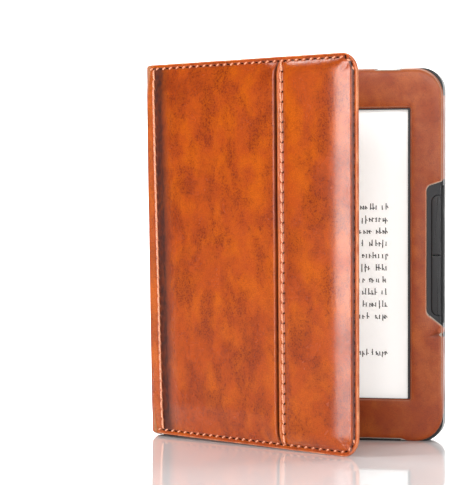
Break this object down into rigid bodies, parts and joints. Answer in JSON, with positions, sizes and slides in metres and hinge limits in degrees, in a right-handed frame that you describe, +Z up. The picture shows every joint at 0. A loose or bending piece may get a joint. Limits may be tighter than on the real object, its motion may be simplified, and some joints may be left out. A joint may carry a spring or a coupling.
{
  "type": "e-reader",
  "caption": "Six-inch e-reader with page keys at its sides, held in a book-style leather folio whose padded cover folds on a leather spine.",
  "frame": {"origin": "middle of the holder's bottom edge, on the surface that the folio stands on", "axes": "+Z up the page, -Y out of the screen, +X to the page's right"},
  "size_m": [0.1285, 0.0841, 0.1605],
  "materials": {
    "case_plastic": "satin, fine texture",
    "key_plastic": "satin",
    "tray_plastic": "satin",
    "magnesium": "cast, satin",
    "touch_film": "matt anti-glare",
    "page": "matt",
    "foam_black": "matt closed-cell foam",
    "flex": "satin polyimide",
    "board": "solder mask",
    "chip": "matt",
    "steel": "plain",
    "antenna": "plated",
    "cell": "laminated foil",
    "wire": "satin",
    "frame_leather": "smooth, waxed, reddish tan",
    "cover_leather": "pebbled, mottled orange tan",
    "suede": "brushed suede",
    "board_card": "matt",
    "foam": "soft foam",
    "edge_paint": "painted edge",
    "thread": "waxed thread",
    "magnet": "nickel plated"
  },
  "bodies": {
    "holder": {"front_bezel": "case_plastic", "rear_shell": "case_plastic", "chassis": "magnesium", "touch_panel": "touch_film", "eink_panel": "page", "screen_gasket": "foam_black", "display_flex": "flex", "main_board": "board", "board_chips": "chip", "shield_can": "steel", "wifi_antenna": "antenna", "hall_sensor": "chip", "battery": "cell", "battery_lead": "wire", "port_board": "board", "charging_port": "steel", "port_flex": "flex", "left_key_board": "board", "right_key_board": "board", "key_flexes": "flex", "key_domes": "steel", "power_switch": "chip", "case_screws": "steel", "board_screws": "steel", "frame_leather": "frame_leather", "frame_core": "board_card", "frame_steel_plates": "steel", "holder_tray": "tray_plastic", "tray_lining": "suede", "back_board": "board_card", "back_leather": "frame_leather"},
    "spine": {"spine_leather": "cover_leather", "spine_board": "board_card", "spine_lining": "suede"},
    "cover": {"cover_leather_left": "cover_leather", "cover_leather_right": "cover_leather", "cover_foam": "foam", "cover_board": "board_card", "cover_lining": "suede", "cover_edge": "edge_paint", "cover_magnets": "magnet", "cover_edge_stitching": "thread", "cover_hinge_stitching": "thread", "cover_seam_stitching": "thread"},
    "power_button": {"power_button": "key_plastic"},
    "left_upper_key": {"left_upper_key": "key_plastic"},
    "left_lower_key": {"left_lower_key": "key_plastic"},
    "right_upper_key": {"right_upper_key": "key_plastic"},
    "right_lower_key": {"right_lower_key": "key_plastic"}
  },
  "joints": [
    {"name": "spine_hinge", "type": "hinge", "parent": "holder", "child": "spine", "pos_m": [-0.0634, 0.0052, 0.08], "axis": [0, 0, -1], "range_deg": [-14, 166]},
    {"name": "cover_hinge", "type": "hinge", "parent": "spine", "child": "cover", "pos_m": [-0.06659, -0.00761, 0.08], "axis": [0, 0, -1], "range_deg": [-20, 160]},
    {"name": "left_upper_page_key", "type": "slide", "parent": "holder", "child": "left_upper_key", "axis": [0, 1, 0], "range_m": [0, 0.00035], "stiffness_N_per_m": 1500, "springref_m": -0.0002},
    {"name": "left_lower_page_key", "type": "slide", "parent": "holder", "child": "left_lower_key", "axis": [0, 1, 0], "range_m": [0, 0.00035], "stiffness_N_per_m": 1500, "springref_m": -0.0002},
    {"name": "right_upper_page_key", "type": "slide", "parent": "holder", "child": "right_upper_key", "axis": [0, 1, 0], "range_m": [0, 0.00035], "stiffness_N_per_m": 1500, "springref_m": -0.0002},
    {"name": "right_lower_page_key", "type": "slide", "parent": "holder", "child": "right_lower_key", "axis": [0, 1, 0], "range_m": [0, 0.00035], "stiffness_N_per_m": 1500, "springref_m": -0.0002},
    {"name": "power_press", "type": "slide", "parent": "holder", "child": "power_button", "axis": [0, 0, -1], "range_m": [0, 0.00035], "stiffness_N_per_m": 1500, "springref_m": -0.0002}
  ]
}
